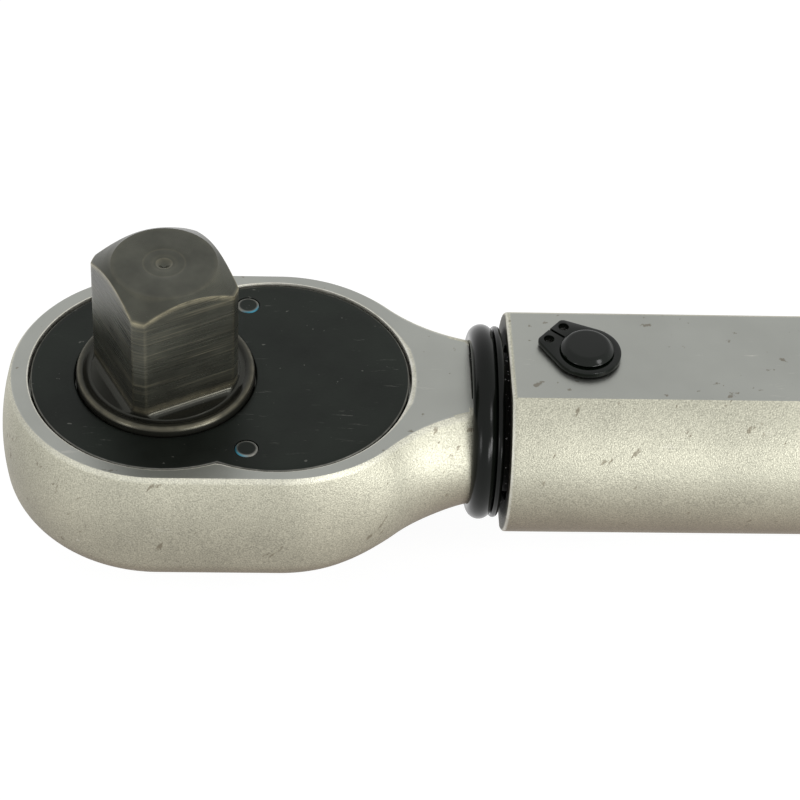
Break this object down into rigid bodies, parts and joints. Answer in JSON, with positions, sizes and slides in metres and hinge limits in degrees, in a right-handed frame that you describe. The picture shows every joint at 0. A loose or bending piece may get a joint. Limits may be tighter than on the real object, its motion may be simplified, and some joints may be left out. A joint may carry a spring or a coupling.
{
  "type": "click torque wrench",
  "caption": "Click torque wrench with a reversible ratchet head, square drive, pivoted tail lever, flatted tube, main spring and a turning grip that sets the torque.",
  "frame": {"origin": "centre of the square drive's end face", "axes": "+Z along the drive, out of its end face; +X along the tube, towards the grip"},
  "size_m": [0.4827, 0.0356, 0.0391],
  "materials": {
    "satin_chrome": "satin",
    "black_oxide": "satin",
    "gloss_black_steel": "gloss",
    "phosphated_steel": "satin",
    "bright_steel": "satin",
    "spring_steel": "satin",
    "rubber": "satin",
    "brass": "satin"
  },
  "bodies": {
    "tube": {"tube": "satin_chrome", "pivot_pin": "gloss_black_steel", "pivot_clip_top": "gloss_black_steel", "pivot_clip_bottom": "gloss_black_steel", "adjusting_nut": "bright_steel", "nut_pin_front": "black_oxide", "nut_pin_rear": "black_oxide", "main_spring": "spring_steel"},
    "head": {"ratchet_head": "satin_chrome", "cover_plate": "black_oxide", "cover_screw_front": "black_oxide", "cover_screw_rear": "black_oxide", "neck_seal": "rubber", "pawl_pin": "bright_steel"},
    "drive": {"drive_square": "phosphated_steel", "detent_spring": "bright_steel"},
    "ball": {"detent_ball": "bright_steel"},
    "pawl": {"pawl": "phosphated_steel"},
    "lever": {"reverse_lever": "black_oxide", "lever_plunger": "bright_steel", "lever_spring": "bright_steel"},
    "block": {"tilt_block": "bright_steel"},
    "plunger": {"plunger": "bright_steel"},
    "carrier": {"spring_seat": "bright_steel", "thrust_washer": "brass"},
    "grip": {"adjusting_screw": "bright_steel", "scale_thimble": "satin_chrome", "grip_sleeve": "satin_chrome", "grip_plug": "bright_steel", "grip_screw_front": "black_oxide", "grip_screw_rear": "black_oxide", "grip_ring": "rubber"},
    "lock_pad": {"lock_pad": "brass"},
    "lock_knob": {"lock_knob": "black_oxide", "lock_spindle": "bright_steel"}
  },
  "joints": [
    {"name": "head_click", "type": "hinge", "parent": "tube", "child": "head", "pos_m": [0.0469, 0, -0.0232], "axis": [0, 0, 1], "range_deg": [-2, 0], "stiffness_Nm_per_rad": 5, "springref_deg": 5.73},
    {"name": "drive_spin", "type": "hinge", "parent": "head", "child": "drive", "pos_m": [0, 0, 0], "axis": [0, 0, 1], "continuous": true},
    {"name": "detent_slide", "type": "slide", "parent": "drive", "child": "ball", "axis": [-0.4493, 0.8934, 0], "range_m": [-0.0006, 0], "stiffness_N_per_m": 600, "springref_m": 0.0006, "deforming": ["detent_spring"]},
    {"name": "reverse_turn", "type": "hinge", "parent": "head", "child": "lever", "pos_m": [0.0229, 0, -0.0232], "axis": [0, 0, 1], "range_deg": [0, 50]},
    {"name": "pawl_rock", "type": "hinge", "parent": "head", "child": "pawl", "pos_m": [0.017, 0, -0.0232], "axis": [0, 0, 1], "range_deg": [-10, 0]},
    {"name": "block_tip", "type": "hinge", "parent": "head", "child": "block", "pos_m": [0.1163, 0.0035, -0.0232], "axis": [0, 0, 1], "range_deg": [0, 15.6]},
    {"name": "plunger_slide", "type": "slide", "parent": "tube", "child": "plunger", "axis": [1, 0, 0], "range_m": [0, 0.0017], "deforming": ["main_spring"]},
    {"name": "carrier_slide", "type": "slide", "parent": "tube", "child": "carrier", "axis": [1, 0, 0], "range_m": [-0.024, 0], "deforming": ["main_spring"]},
    {"name": "grip_turn", "type": "hinge", "parent": "carrier", "child": "grip", "pos_m": [0.3323, 0, -0.0232], "axis": [1, 0, 0], "range_deg": [-5760, 0]},
    {"name": "pad_slide", "type": "slide", "parent": "grip", "child": "lock_pad", "axis": [1, 0, 0], "range_m": [0, 0.00125]},
    {"name": "lock_turn", "type": "hinge", "parent": "lock_pad", "child": "lock_knob", "pos_m": [0.4403, 0, -0.0232], "axis": [1, 0, 0], "range_deg": [0, 360]}
  ],
  "couplings": [
    {"joint": "pawl_rock", "follows": "reverse_turn", "ratio": -0.2},
    {"joint": "block_tip", "follows": "head_click", "ratio": -7.8},
    {"joint": "plunger_slide", "follows": "head_click", "m_per_rad": -0.048701},
    {"joint": "carrier_slide", "follows": "grip_turn", "m_per_rad": 0.00023873},
    {"joint": "lock_turn", "follows": "pad_slide", "rad_per_m": 5026.5}
  ]
}
